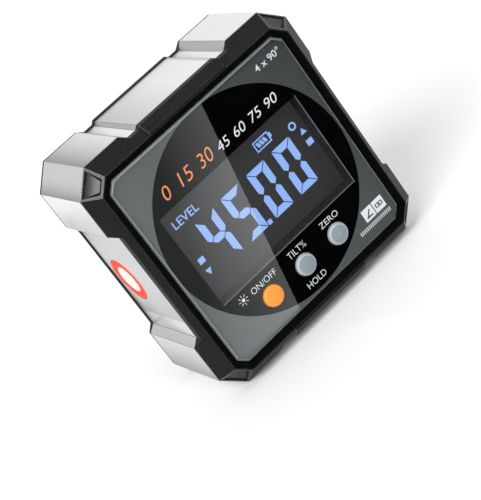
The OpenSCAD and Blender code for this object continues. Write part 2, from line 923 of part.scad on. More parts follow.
module case_screws() {
    seat = y_back - head_sink;
    color("#3a3c40") centred() at_screws() difference() {
        union() {
            rod_y(head_d, seat, seat + head_h);
            rod_y(screw_d, y_board - thread_len, seat + cut);
        }
        slab(seat + head_h - slot_depth, seat + head_h + cut) {
            square([slot_len, slot_w], center = true);
            square([slot_w, slot_len], center = true);
        }
    }
}

frame();
front_bezel();
window_lens();
corner_film();
dial_film();
lcd_holder();
lcd_panel();
backlight();
contact_strips();
power_button();
hold_button();
zero_button();
power_plunger();
hold_plunger();
zero_plunger();
key_switches();
main_board();
processor();
tilt_sensor();
left_laser();
right_laser();
left_aperture_ring();
right_aperture_ring();
left_aperture_lens();
right_aperture_lens();
laser_leads();
magnets();
back_cover();
battery_door();
left_cell();
right_cell();
bridge_contact();
plus_contact();
minus_contact();
battery_leads();
case_screws();
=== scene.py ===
"""Looks of the digital angle gauge: metal, plastic, window, printed dial, lit display and studio."""

import json
import math

import bmesh
import bpy
from mathutils import Matrix, Vector


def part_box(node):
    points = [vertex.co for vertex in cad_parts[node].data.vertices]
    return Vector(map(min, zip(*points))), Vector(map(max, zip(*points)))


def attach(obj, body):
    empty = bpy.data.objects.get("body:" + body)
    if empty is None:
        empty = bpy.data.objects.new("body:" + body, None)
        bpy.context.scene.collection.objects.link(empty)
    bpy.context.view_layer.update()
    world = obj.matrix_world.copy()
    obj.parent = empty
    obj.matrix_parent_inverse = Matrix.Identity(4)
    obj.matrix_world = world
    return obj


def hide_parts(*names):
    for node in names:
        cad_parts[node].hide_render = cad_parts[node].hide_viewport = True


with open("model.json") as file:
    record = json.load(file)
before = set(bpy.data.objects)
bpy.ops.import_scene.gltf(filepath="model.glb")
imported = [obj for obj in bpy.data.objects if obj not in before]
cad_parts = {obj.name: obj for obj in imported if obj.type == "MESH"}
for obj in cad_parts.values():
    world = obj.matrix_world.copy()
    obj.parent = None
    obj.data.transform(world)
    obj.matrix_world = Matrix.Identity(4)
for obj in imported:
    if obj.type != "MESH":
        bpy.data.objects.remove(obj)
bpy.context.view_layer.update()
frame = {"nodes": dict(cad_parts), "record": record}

MM = 0.001
INK = 0.012 * MM  # thickness of printed ink and of a lit mark
GLASS_LIFT = 0.03 * MM  # gap between the printed films and the back of the window

# Places in the frame: X and Z are measured from the middle of the dial
DIAL_LOW, DIAL_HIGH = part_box("dial_film")
DIAL_MIDDLE = Vector(((DIAL_LOW[0] + DIAL_HIGH[0]) / 2, 0, (DIAL_LOW[2] + DIAL_HIGH[2]) / 2))
PRINT_Y = DIAL_LOW[1]
LCD_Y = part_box("lcd_panel")[0][1]
OPENING = (40.0, 23.6)  # display opening in the printed dial, in millimetres

# Camera: where it stands, the point it looks at, its turn about the view and its lens
CAMERA_AT = Vector((-112.87, -337.48, 160.58)) * MM
CAMERA_AIM = Vector((-7.89, -8.52, 22.19)) * MM
CAMERA_ROLL = math.radians(-36.73)
CAMERA_LENS = 126
CAMERA_SENSOR = 36

# Studio: key light, sky, floor, and the edge and fade of the bright reflection on the window
KEY_DIRECTION = Vector((0.6, 0.42, -0.68))
KEY_LEVEL = 2.1
KEY_SPREAD = math.radians(40)
SKY_LOW, SKY_RISE = 0.62, 0.37
FLOOR_REACH = 3.0
FLOOR_DROP = -0.02 * MM
CARD_LIFT = 0.3 * MM
GLARE_TOP = (2.2, 24.0)  # in millimetres from the middle of the dial, as is the foot
GLARE_FOOT = (-7.0, -25.0)
GLARE_FADE = 19.4 * MM
GLARE_LEVELS = (1.33, 0.36)

# Sides of the extruded case, measured along a side from its middle
LAND_START, LAND_END = 13 * MM, 25 * MM
PLATEAU_HALF = 10 * MM
GROOVE_AT = 12.75 * MM
GROOVE_HALF = 1.95 * MM  # from the middle of a groove to the middle of its leaning wall
WALL_HALF = 0.8 * MM
FACET_REACH = 54.9 * MM  # least sum of the X and Z distances on a cut corner

# Places of the bezel's finishes after those of its moulding and its edges: lighter, glossier copies on rims
# and recesses and a grey one on pad ends paint highlights, a darker one paints shadow in the channel
RIM, RECESS, CHANNEL, PAD_END = 2, 3, 4, 5


class Link:
    """One output of a node, with arithmetic that adds Math nodes."""

    def __init__(self, wiring, socket):
        self.wiring = wiring
        self.socket = socket

    def calc(self, operation, *operands):
        return self.wiring.node("ShaderNodeMath", {"operation": operation}, dict(enumerate(operands)))

    def __add__(self, other):
        return self.calc("ADD", self, other)

    __radd__ = __add__

    def __sub__(self, other):
        return self.calc("SUBTRACT", self, other)

    def __rsub__(self, other):
        return self.calc("SUBTRACT", other, self)

    def __mul__(self, other):
        return self.calc("MULTIPLY", self, other)

    __rmul__ = __mul__

    def __truediv__(self, other):
        return self.calc("DIVIDE", self, other)

    def __gt__(self, other):
        return self.calc("GREATER_THAN", self, other)

    def __lt__(self, other):
        return self.calc("LESS_THAN", self, other)

    def __abs__(self):
        return self.calc("ABSOLUTE", self)

    def __mod__(self, other):
        return self.calc("FLOORED_MODULO", self, other)

    def sign(self):
        return self.calc("SIGN", self)

    def sine(self):
        return self.calc("SINE", self)

    def cosine(self):
        return self.calc("COSINE", self)


class Wiring:
    """A node tree under construction."""

    def __init__(self, tree):
        self.tree = tree

    def put(self, socket, value):
        if isinstance(value, Link):
            self.tree.links.new(value.socket, socket)
        elif hasattr(socket.default_value, "__len__") and len(socket.default_value) == 4:
            socket.default_value = (*value[:3], 1.0)
        else:
            socket.default_value = value

    def socket(self, sockets, key):
        if isinstance(key, int):
            return sockets[key]
        return next(s for s in sockets if key in (s.identifier, s.name))

    def node(self, kind, settings=None, values=None, out=0):
        made = self.tree.nodes.new(kind)
        for key, setting in (settings or {}).items():
            if key == "stops":
                self.set_stops(made.color_ramp, setting)
            else:
                setattr(made, key, setting)
        for key, value in (values or {}).items():
            self.put(self.socket(made.inputs, key), value)
        return Link(self, self.socket(made.outputs, out)) if made.outputs else made

    def set_stops(self, ramp, stops):
        while len(ramp.elements) < len(stops):
            ramp.elements.new(1.0)
        for element, (place, level) in zip(ramp.elements, stops):
            element.position = place
            element.color = (level, level, level, 1.0)


class Finish(Wiring):
    """A material under construction, on the object's own coordinates."""

    def __init__(self, name):
        self.material = bpy.data.materials.new(name)
        self.material.use_nodes = True
        super().__init__(self.material.node_tree)
        self.tree.nodes.clear()
        self.at = self.node("ShaderNodeTexCoord", out="Object")

    def axis(self, letter):
        return self.node("ShaderNodeSeparateXYZ", values={0: self.at}, out=letter)

    def stretched(self, x, y, z):
        return self.node("ShaderNodeVectorMath", {"operation": "MULTIPLY"}, {0: self.at, 1: (x, y, z)})

    def noise(self, size, detail=2.0, where=None):
        values = {"Vector": where or self.at, "Scale": 1 / size, "Detail": detail}
        return self.node("ShaderNodeTexNoise", values=values)

    def cells(self, size):
        return self.node("ShaderNodeTexVoronoi", values={"Vector": self.at, "Scale": 1 / size})

    def ramp(self, value, *stops):
        return self.node("ShaderNodeValToRGB", {"stops": stops}, {"Fac": value})

    def blend(self, share, first, second):
        values = {"Factor_Float": share, "A_Color": first, "B_Color": second}
        return self.node("ShaderNodeMix", {"data_type": "RGBA"}, values, "Result_Color")

    def bump(self, height, depth):
        return self.node("ShaderNodeBump", values={"Height": height, "Distance": depth, "Strength": 1.0})

    def passed(self, value, start, end):
        """How far a value has gone from start to end, from 0 to 1."""
        return self.node("ShaderNodeClamp", values={0: (value - start) / (end - start)})

    def surface(self, shader):
        self.node("ShaderNodeOutputMaterial", values={"Surface": shader})
        return self.material

    def solid(self, **values):
        named = {}
        for key, value in values.items():
            named[key.replace("_", " ").title().replace("Ior", "IOR")] = value
        return self.surface(self.node("ShaderNodeBsdfPrincipled", values=named))


def satin_aluminium():
    """Satin extrusion with fine die lines, with painted shade that darkens its colour towards one end of
    each flat.
    """
    f = Finish("satin_aluminium")
    across = f.axis("X") - DIAL_MIDDLE.x
    up = f.axis("Z") - DIAL_MIDDLE.z
    level = abs(up) > abs(across)
    round_case = (1 - level) * up * across.sign() - level * across * up.sign()
    facet = abs(across) + abs(up) > FACET_REACH
    down_facet = (abs(up) - abs(across)) * (across * up).sign()
    on_land = f.passed(round_case, LAND_START, LAND_END)
    on_wall = level * (abs(abs(abs(round_case) - GROOVE_AT) - GROOVE_HALF) < WALL_HALF)
    on_plateau = f.passed(round_case, -3 * MM, PLATEAU_HALF) * (abs(round_case) < PLATEAU_HALF)
    on_facet = f.passed(down_facet, -1.5 * MM, 5 * MM)
    shade_on_flats = on_land * (0.3 + 0.42 * on_land) + 0.3 * on_plateau + 0.3 * on_wall
    # painted shade: the colour darkens towards one end of each flat, on the groove walls and on the cut
    # corners
    fade = (1 - facet) * shade_on_flats + facet * 0.5 * on_facet * on_facet
    die_lines = f.noise(0.12 * MM, 3, f.stretched(1, 0.02, 1))
    blast = f.noise(0.09 * MM, 4)
    cloud = f.noise(14 * MM, 2)
    bright = f.blend(cloud, (0.82, 0.83, 0.845), (0.88, 0.885, 0.895))
    colour = f.blend(fade, bright, (0.02, 0.02, 0.022))
    rough = 0.24 + 0.08 * blast + 0.06 * die_lines + 0.12 * facet
    relief = f.bump(blast * 0.6 + die_lines * 0.4, 0.0025 * MM)
    return f.solid(base_color=colour, metallic=1.0, roughness=rough, normal=relief)


def grained_black(name, level, rough=0.42, shine=0.19, grain_depth=0.07):
    """Black moulding with the fine spark grain of its tool."""
    f = Finish(name)
    grain = f.noise(0.3 * MM, 3)
    pits = f.cells(0.45 * MM)
    cloud = f.noise(9 * MM)
    speck = f.ramp(grain, (0.4, 0.0), (0.66, 1.0)) * (0.8 + 0.4 * cloud)
    tint = f.blend(speck, (level * 0.3,) * 3, (level * 3.2, level * 3.2, level * 3.3))
    relief = f.bump(grain * 0.7 + pits * 0.3, grain_depth * MM)
    return f.solid(
        base_color=tint, roughness=rough + 0.16 * grain + 0.05 * cloud,
        normal=relief, specular_ior_level=shine,
    )


def clear_body():
    """Body of the window: clear, and mirroring where no glossy print is bonded to its back."""
    f = Finish("clear_body")
    across = f.axis("X") - DIAL_MIDDLE.x
    up = f.axis("Z") - DIAL_MIDDLE.z
    opening = (abs(across) < OPENING[0] / 2 * MM) * (abs(up) < OPENING[1] / 2 * MM)
    back = f.axis("Y") > PRINT_Y - 2 * GLASS_LIFT
    clear = f.node("ShaderNodeBsdfTransparent", values={"Color": (0.985, 0.995, 0.995)})
    gloss = f.node("ShaderNodeBsdfGlossy", values={"Color": (1, 1, 1), "Roughness": 0.012})
    return f.surface(f.node("ShaderNodeMixShader", values={0: 0.095 * opening * back, 1: clear, 2: gloss}))


def ground_bevel():
    """Ground and half-polished bevel of the window, which catches a little light."""
    f = Finish("ground_bevel")
    grind = f.noise(0.15 * MM, 2)
    clear = f.node("ShaderNodeBsdfTransparent", values={"Color": (0.9, 0.95, 0.95)})
    tint = f.blend(grind, (0.30, 0.34, 0.345), (0.40, 0.44, 0.445))
    matt = f.node("ShaderNodeBsdfPrincipled", values={"Base Color": tint, "Roughness": 0.2 + 0.1 * grind})
    return f.surface(f.node("ShaderNodeMixShader", values={0: 0.5 + 0.1 * grind, 1: clear, 2: matt}))


def print_ink(name, colour, mirror=1.65, spread=0.06, far=None):
    """Screen-printed ink with uneven cover under a hard clear coat; given a far tone, it darkens towards
    one corner as painted shade.
    """
    f = Finish(name)
    cover = f.noise(0.35 * MM, 3)
    cloud = f.noise(12 * MM)
    light = tuple(min(1.0, c * (1 + spread)) for c in colour)
    dark = tuple(c * (1 - spread) for c in colour)
    tint = f.blend(cover * 0.5 + cloud * 0.5, dark, light)
    # painted shade: the tone darkens across the film towards its far corner
    if far:
        shade_to_far_corner = f.passed(f.axis("X") * 2 + f.axis("Z"), -45 * MM, 105 * MM)
        tint = f.blend(shade_to_far_corner, tint, far)
    return f.solid(
        base_color=tint, roughness=0.6 + 0.2 * cover, specular_ior_level=0.0,
        coat_weight=1.0, coat_roughness=0.012, coat_ior=mirror,
    )


def display_glass():
    """Dark display glass, a little lighter towards its middle from the panel behind it."""
    f = Finish("display_glass")
    fall = abs(f.axis("X")) * (1 / (40 * MM)) + 0.25 * f.noise(20 * MM)
    tint = f.blend(fall, (0.0245, 0.024, 0.024), (0.0195, 0.019, 0.019))
    rough = 0.4 + 0.1 * f.noise(3 * MM)
    return f.solid(
        base_color=tint, roughness=rough, specular_ior_level=0.0, emission_color=tint, emission_strength=1.0
    )


def lit_blue():
    """Display mark lit from behind, with the soft unevenness of its diffuser."""
    f = Finish("lit_blue")
    lamp = f.noise(5 * MM, 1)
    glow = f.blend(lamp, (0.28, 0.465, 0.97), (0.32, 0.505, 1.0))
    return f.solid(base_color=(0.02, 0.03, 0.05), roughness=0.4, emission_color=glow, emission_strength=1.0)


def moulded_cap(name, colour):
    """Soft-gloss button plastic with a faint moulded grain."""
    f = Finish(name)
    grain = f.noise(0.22 * MM, 2)
    flow = f.noise(2.5 * MM)
    tint = f.blend(flow, tuple(c * 0.94 for c in colour), tuple(min(1.0, c * 1.05) for c in colour))
    relief = f.bump(grain, 0.006 * MM)
    return f.solid(base_color=tint, roughness=0.36 + 0.14 * grain, normal=relief)


def plated(name, colour, rough=0.22):
    """Thin bright plating with fine draw marks."""
    f = Finish(name)
    marks = f.noise(0.2 * MM, 3, f.stretched(1, 1, 0.15))
    tint = f.blend(marks, tuple(c * 0.9 for c in colour), colour)
    relief = f.bump(marks, 0.003 * MM)
    return f.solid(base_color=tint, metallic=1.0, roughness=rough + 0.14 * marks, normal=relief)


def smooth_resin(name, colour, rough=0.45, speck=0.3):
    """Plain moulded or cast resin with small flow marks and specks."""
    f = Finish(name)
    flow = f.noise(1.8 * MM, 3)
    fine = f.noise(speck * MM, 3)
    tint = f.blend(flow, tuple(c * 0.88 for c in colour), tuple(min(1.0, c * 1.1) for c in colour))
    return f.solid(base_color=tint, roughness=rough + 0.14 * fine, normal=f.bump(fine, 0.004 * MM))


def solder_mask():
    """Green board with copper runs that show through the mask."""
    f = Finish("solder_mask")
    across = abs(f.axis("X") * (1 / (1.2 * MM)) % 1.0 - 0.5) > 0.32
    along = abs(f.axis("Z") * (1 / (1.7 * MM)) % 1.0 - 0.5) > 0.36
    runs = f.noise(4 * MM, 1) > 0.5
    copper = runs * across + (1 - runs) * along
    tint = f.blend(copper, (0.012, 0.09, 0.045), (0.03, 0.16, 0.075))
    return f.solid(base_color=tint, roughness=0.3 + 0.1 * copper, normal=f.bump(copper, 0.02 * MM))


def cell_jacket():
    """Plain two-tone sleeve of a cell, with bright metal at both ends."""
    f = Finish("cell_jacket")
    up = f.axis("Z") - DIAL_MIDDLE.z
    band = up > 8 * MM
    sleeve = f.blend(band, (0.025, 0.026, 0.028), (0.62, 0.25, 0.07))
    ends = abs(up) > 20.6 * MM
    scuff = f.noise(0.5 * MM, 3)
    tint = f.blend(ends, sleeve, (0.62, 0.62, 0.63))
    return f.solid(base_color=tint, metallic=ends, roughness=0.24 + 0.12 * scuff)


def red_lens_ring():
    """Tinted ring moulded in clear red resin."""
    f = Finish("red_lens_ring")
    depth = f.noise(1.5 * MM, 2)
    tint = f.blend(depth, (0.95, 0.05, 0.014), (1.0, 0.075, 0.024))
    return f.solid(base_color=tint, roughness=0.4 + 0.1 * depth, specular_ior_level=0.08)


def plain_floor():
    """Matt white floor with the faintest cloud."""
    f = Finish("plain_floor")
    cloud = f.noise(90 * MM, 3)
    tint = f.blend(cloud, (0.86, 0.86, 0.865), (0.88, 0.88, 0.885))
    return f.solid(base_color=tint, roughness=0.7, specular_ior_level=0.1)


def card_face(name, start, run, first, last):
    """Studio card whose brightness goes from first to last along its run."""
    f = Finish(name)
    along = {0: f.at, 1: run / run.length_squared}
    passed = f.node("ShaderNodeVectorMath", {"operation": "DOT_PRODUCT"}, along, "Value")
    share = f.node("ShaderNodeClamp", values={0: passed - start.dot(run) / run.length_squared})
    level = first + (last - first) * share
    return f.surface(f.node("ShaderNodeEmission", values={"Color": level, "Strength": 1.0}))


def settle(mesh):
    """Merge a copied mesh's loose triangles and join those that lie in one plane."""
    work = bmesh.new()
    work.from_mesh(mesh)
    bmesh.ops.remove_doubles(work, verts=work.verts, dist=0.0005 * MM)
    bmesh.ops.dissolve_limit(
        work, angle_limit=math.radians(0.5), verts=work.verts, edges=work.edges, delimit=set()
    )
    work.to_mesh(mesh)
    work.free()


def kept_mesh(holder):
    """The evaluated mesh of an object, with its modifiers made permanent."""
    graph = bpy.context.evaluated_depsgraph_get()
    return bpy.data.meshes.new_from_object(holder.evaluated_get(graph))


def linked(name, mesh):
    made = bpy.data.objects.new(name, mesh)
    bpy.context.collection.objects.link(made)
    return made


def body_of(node):
    bodies = frame["record"]["behaviour"]["bodies"]
    return next(body for body, nodes in bodies.items() if node in nodes)


def slot_of(node):
    return next(s["material_slot"] for s in frame["record"]["subparts"] if s["node"] == node)


def slant_recesses(mesh):
    """Give the recess in each corner of the bezel leaning walls."""
    work = bmesh.new()
    work.from_mesh(mesh)
    slopes = [f for f in work.faces if on_corner_slope(f.normal)]
    outermost = max(height_on_slope(f) for f in slopes)
    floors = [f for f in slopes if 0.5 * MM < outermost - height_on_slope(f) < MM]
    bmesh.ops.inset_individual(work, faces=floors, thickness=0.68 * MM, use_even_offset=True)
    for floor in floors:
        lift = floor.normal * 0.5 * MM
        inner = set(floor.verts)
        rims = {v for corner in inner for edge in corner.link_edges for v in edge.verts} - inner
        bmesh.ops.translate(work, verts=list(rims), vec=lift)
        for corner in sorted(inner, key=lambda v: (v.co - DIAL_MIDDLE).xz.length)[2:]:
            mate = next(v for edge in corner.link_edges for v in edge.verts if v in rims)
            corner.co = mate.co.lerp(corner.co, 0.3)
    work.to_mesh(mesh)
    work.free()


def height_on_slope(face):
    return face.normal.dot(face.calc_center_median() - DIAL_MIDDLE)


def on_corner_slope(normal):
    """Whether a face lies along one of the bezel's four corner slopes."""
    return -0.8 < normal.y < -0.58 and abs(abs(normal.x) - abs(normal.z)) < 0.05


def dress(node, name, finish, ease=0.12, steps=2, sharp=30, edge_finish=None, reshape=None):
    """A copy of a node with its edges broken, which takes the node's place."""
    mesh = frame["nodes"][node].data.copy()
    settle(mesh)
    if reshape:
        reshape(mesh)
    mesh.materials.clear()
    mesh.materials.append(finish)
    if edge_finish:
        mesh.materials.append(edge_finish)
    holder = linked(name + "_raw", mesh)
    if ease:
        edge = holder.modifiers.new("edge", "BEVEL")
        edge.width = ease * MM
        edge.segments = steps
        edge.limit_method = "ANGLE"
        edge.angle_limit = math.radians(sharp)
        edge.harden_normals = True
        edge.material = 1 if edge_finish else -1
    mesh.shade_smooth()
    mesh.set_sharp_from_angle(angle=math.radians(sharp))
    eased = kept_mesh(holder)
    bpy.data.objects.remove(holder)
    piece = linked(name, eased)
    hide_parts(node)
    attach(piece, body_of(node))
    slot_of(node)
    return piece


def coat(node, finish):
    """Give a node that keeps its own mesh a finish."""
    mesh = frame["nodes"][node].data
    mesh.materials.clear()
    mesh.materials.append(finish)


def joined(name, meshes, finish, body):
    """One piece from several flat meshes, with its faces turned outwards."""
    work = bmesh.new()
    for mesh in meshes:
        work.from_mesh(mesh)
        bpy.data.meshes.remove(mesh)
    bmesh.ops.remove_doubles(work, verts=work.verts, dist=0.0005 * MM)
    bmesh.ops.recalc_face_normals(work, faces=work.faces)
    mesh = bpy.data.meshes.new(name)
    work.to_mesh(mesh)
    work.free()
    mesh.materials.append(finish)
    piece = linked(name, mesh)
    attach(piece, body)
    return piece


def place_flat(mesh, level, left=0.0, base=0.0):
    """Stand a mesh drawn in X and Y on the face at Y = level, in millimetres from the dial's middle."""
    upright = Matrix(((1, 0, 0, 0), (0, 0, -1, 0), (0, 1, 0, 0), (0, 0, 0, 1)))
    shift = Matrix.Translation(DIAL_MIDDLE + Vector((left * MM, level - INK / 2, base * MM)))
    mesh.transform(shift @ upright)
    return mesh


def outline(points, level):
    """A flat mark with the given corners, in millimetres from the dial's middle."""
    work = bmesh.new()
    corners = [work.verts.new((x * MM, z * MM, -INK / 2)) for x, z in points]
    face = work.faces.new(corners)
    raised = bmesh.ops.extrude_face_region(work, geom=[face])
    tops = [v for v in raised["geom"] if isinstance(v, bmesh.types.BMVert)]
    bmesh.ops.translate(work, verts=tops, vec=(0, 0, INK))
    mesh = bpy.data.meshes.new("outline")
    work.to_mesh(mesh)
    work.free()
    return place_flat(mesh, level)


def box_mark(left, right, low, high, level):
    return outline([(left, low), (right, low), (right, high), (left, high)], level)


def ring_mark(x, z, outer, inner, level, sides=40):
    """A flat ring, or a disc when inner is 0."""
    turns = [math.tau * i / sides for i in range(sides)]
    if not inner:
        return outline([(x + outer * math.cos(a), z + outer * math.sin(a)) for a in turns], level)
    work = bmesh.new()
    loops = []
    for radius, lift in ((outer, -1), (inner, -1), (inner, 1), (outer, 1)):
        spots = [(x + radius * math.cos(a), z + radius * math.sin(a)) for a in turns]
        loops.append([work.verts.new((u * MM, v * MM, lift * INK / 2)) for u, v in spots])
    for here, there in zip(loops, loops[1:] + loops[:1]):
        for i in range(sides):
            j = (i + 1) % sides
            work.faces.new((here[i], here[j], there[j], there[i]))
    mesh = bpy.data.meshes.new("ring")
    work.to_mesh(mesh)
    work.free()
    return place_flat(mesh, level)


def frame_mark(left, right, low, high, line, level):
    """A rectangle drawn as four lines."""
    return [
        box_mark(left, right, high - line, high, level),
        box_mark(left, right, low, low + line, level),
        box_mark(left, left + line, low + line, high - line, level),
        box_mark(right - line, right, low + line, high - line, level),
    ]


def lettering(words, left, right, low, high, level, weight=0.0, lean=0.0):
    """Letters that fill the given space, as one thin closed mesh."""
    curve = bpy.data.curves.new("letters", "FONT")
    curve.body = words
    curve.offset = weight
    curve.shear = lean
    curve.resolution_u = 4
    curve.extrude = 0.5
    holder = linked("letters", curve)
    mesh = kept_mesh(holder)
    bpy.data.objects.remove(holder)
    bpy.data.curves.remove(curve)
    xs = [v.co.x for v in mesh.vertices]
    ys = [v.co.y for v in mesh.vertices]
    wide = (right - left) / (max(xs) - min(xs))
    tall = (high - low) / (max(ys) - min(ys))
    to_origin = Matrix.Translation((-min(xs), -min(ys), 0))
    mesh.transform(Matrix.Diagonal((wide * MM, tall * MM, INK, 1)) @ to_origin)
    return place_flat(mesh, level, left, low)


def sockets_of(tree, inputs):
    """Declare a tree's named inputs, and its one result."""
    for name, kind in inputs.items():
        tree.interface.new_socket(name, in_out="INPUT", socket_type="NodeSocket" + kind)
    tree.interface.new_socket("Geometry", in_out="OUTPUT", socket_type="NodeSocketGeometry")


def marks_tree(name, placing):
    """Tree that repeats one flat bar, along a row or round an arc."""
    tree = bpy.data.node_groups.new(name, "GeometryNodeTree")
    sizes = {key: "Float" for key in ("Width", "Length", "Depth", "Start", "Step", "Radius")}
    sockets_of(tree, {"Count": "Int", **sizes, "Finish": "Material"})
    w = Wiring(tree)
    given = tree.nodes.new("NodeGroupInput")
    size = {s.name: Link(w, s) for s in given.outputs if s.name}
    step = size["Start"] + size["Step"] * w.node("GeometryNodeInputIndex")
    place, turn = placing(w, size, step)
    spots = w.node("GeometryNodePoints", values={"Count": size["Count"], "Position": place})
    sides = {"X": size["Width"], "Y": size["Depth"], "Z": size["Length"]}
    bar = w.node("GeometryNodeMeshCube", values={"Size": w.node("ShaderNodeCombineXYZ", values=sides)})
    copies = w.node(
        "GeometryNodeInstanceOnPoints", values={"Points": spots, "Instance": bar, "Rotation": turn}
    )
    plain = w.node("GeometryNodeRealizeInstances", values={"Geometry": copies})
    done = w.node("GeometryNodeSetMaterial", values={"Geometry": plain, "Material": size["Finish"]})
    tree.links.new(done.socket, tree.nodes.new("NodeGroupOutput").inputs[0])
    return tree


def along_row(w, size, step):
    place = w.node("ShaderNodeCombineXYZ", values={"X": step})
    turn = w.node("ShaderNodeCombineXYZ")
    return place, turn


def round_arc(w, size, step):
    values = {"X": size["Radius"] * step.sine(), "Z": size["Radius"] * step.cosine()}
    place = w.node("ShaderNodeCombineXYZ", values=values)
    turn = w.node("ShaderNodeCombineXYZ", values={"Y": step})
    return place, turn


def grown(tree, sizes, x, z, level):
    """Run a tree once and keep its plain mesh, with its middle at a place on the dial."""
    holder = linked("grown", bpy.data.meshes.new("grown"))
    run = holder.modifiers.new("grow", "NODES")
    run.node_group = tree
    for item in tree.interface.items_tree:
        if item.in_out == "INPUT":
            run[item.identifier] = sizes.get(item.name, run[item.identifier])
    mesh = kept_mesh(holder)
    holder.modifiers.remove(run)
    bpy.data.objects.remove(holder)
    mesh.transform(Matrix.Translation(DIAL_MIDDLE + Vector((x * MM, level - INK / 2, z * MM))))
    return mesh


def digit_bars(left, low, wide, tall, bar, gap, lit, level):
    """Lit bars of one seven-bar digit: mitred corners, pointed ends at the waist."""
    right, high, waist = left + wide, low + tall, low + tall / 2
    half, cut = bar / 2, gap / math.sqrt(2)
    bars = {}
    for name, top, turn in (("a", high, -1), ("d", low, 1)):
        bars[name] = [
            (left + cut, top), (right - cut, top),
            (right - cut - bar, top + turn * bar), (left + cut + bar, top + turn * bar),
        ]
    bars["g"] = [
        (left + half + cut, waist), (left + bar + cut, waist + half), (right - bar - cut, waist + half),
        (right - half - cut, waist), (right - bar - cut, waist - half), (left + bar + cut, waist - half),
    ]
    uprights = (
        ("f", left, 1, high, -1), ("b", right, -1, high, -1),
        ("e", left, 1, low, 1), ("c", right, -1, low, 1),
    )
    for name, edge, inward, top, down in uprights:
        start = top + down * cut
        end = waist - down * cut
        inner = edge + inward * bar
        bars[name] = [
            (edge, start), (inner, start + down * bar), (inner, end - down * half),
            (edge + inward * half, end), (edge, end - down * half),
        ]
    return [outline(bars[name], level) for name in lit]


# Finishes that several pieces share
# the aluminium's colour carries painted shade along its flats
ALUMINIUM = satin_aluminium()
BEZEL_BLACK = grained_black("bezel_black", 0.003)
# lighter, glossier copy of the black moulding for broken edges: partly real gloss, partly a painted
# highlight
EDGE_HIGHLIGHT_BLACK = grained_black("edge_highlight_black", 0.03, 0.26, 0.8, 0.008)
COVER_BLACK = grained_black("cover_black", 0.006)
# lighter, glossier copies of the black moulding for the corner recesses' rims and floors: partly real
# gloss, partly painted highlight
RIM_HIGHLIGHT_BLACK = grained_black("rim_highlight_black", 0.012, 0.14, 0.6, 0.012)
RECESS_HIGHLIGHT_BLACK = grained_black("recess_highlight_black", 0.012, 0.2, 0.6, 0.03)
# darker, duller copy of the black moulding for the bezel's inner channel: painted shadow
CHANNEL_SHADE_BLACK = grained_black("channel_shade_black", 0.0008, 0.5, 0.04, 0.02)
HOLDER_BLACK = grained_black("holder_black", 0.019)
# the grey film's darker far tone is painted shade
GREY_INK = print_ink("grey_ink", (0.127, 0.137, 0.14), 1.95, far=(0.048, 0.052, 0.0535))
BLACK_INK = print_ink("black_ink", (0.0015, 0.0015, 0.0018))
WHITE_INK = print_ink("white_ink", (0.74, 0.75, 0.77))
ORANGE_INK = print_ink("orange_ink", (0.8, 0.255, 0.09))
# light grey for the films' cut edges and the opening's border: a painted highlight
EDGE_HIGHLIGHT_GREY = print_ink("edge_highlight_grey", (0.14, 0.144, 0.15))
LIT_BLUE = lit_blue()


def dress_case():
    metal_edge = plated("metal_edge", (0.42, 0.42, 0.43), 0.36)
    dress("frame", "frame_metal", ALUMINIUM, 0.14, edge_finish=metal_edge)
    bezel = dress(
        "front_bezel", "bezel_moulding", BEZEL_BLACK, 0.14,
        edge_finish=EDGE_HIGHLIGHT_BLACK, reshape=slant_recesses,
    )
    # a much lighter copy of the black moulding on the pads' end faces: painted glint
    pad_glint = grained_black("pad_glint_black", 0.085, 0.3, 0.8, 0.008)
    for finish in (RIM_HIGHLIGHT_BLACK, RECESS_HIGHLIGHT_BLACK, CHANNEL_SHADE_BLACK, pad_glint):
        bezel.data.materials.append(finish)
    # faces take the painted highlight, glint and shadow copies of the black by where they lie
    for face in bezel.data.polygons:
        outwards = (face.center - DIAL_MIDDLE) * Vector((1, 0, 1))
        if on_corner_slope(face.normal):
            face.material_index = RIM if face.normal.y > -0.63 else RECESS
        elif abs(face.normal.x) > 0.6 and abs(face.center.x) < 11 * MM:
            face.material_index = PAD_END
        elif face.normal.dot(outwards.normalized()) < -0.12:
            face.material_index = CHANNEL
    dress("back_cover", "cover_moulding", COVER_BLACK, 0.16, edge_finish=EDGE_HIGHLIGHT_BLACK)
    dress("battery_door", "door_moulding", COVER_BLACK, 0.12, edge_finish=EDGE_HIGHLIGHT_BLACK)
    dress("case_screws", "screw_heads", plated("black_steel", (0.16, 0.16, 0.17), 0.3), 0.06)


def dress_window():
    glass = dress("window_lens", "window_pane", ground_bevel(), 0)
    back = max(v.co.y for v in glass.data.vertices)
    for v in glass.data.vertices:
        if v.co.y > back - GLASS_LIFT:
            v.co.y -= GLASS_LIFT
    glass.data.materials.append(clear_body())
    for face in glass.data.polygons:
        face.material_index = 0 if -0.95 < face.normal.y < -0.3 else 1
    films = {"corner_film": ("corner_print", GREY_INK), "dial_film": ("dial_print", BLACK_INK)}
    for node, (name, finish) in films.items():
        film = dress(node, name, finish, 0)
        # the films' cut edges take the light grey of a painted highlight
        film.data.materials.append(EDGE_HIGHLIGHT_GREY)
        for face in film.data.polygons:
            if abs(face.normal.y) < 0.5:
                face.material_index = 1


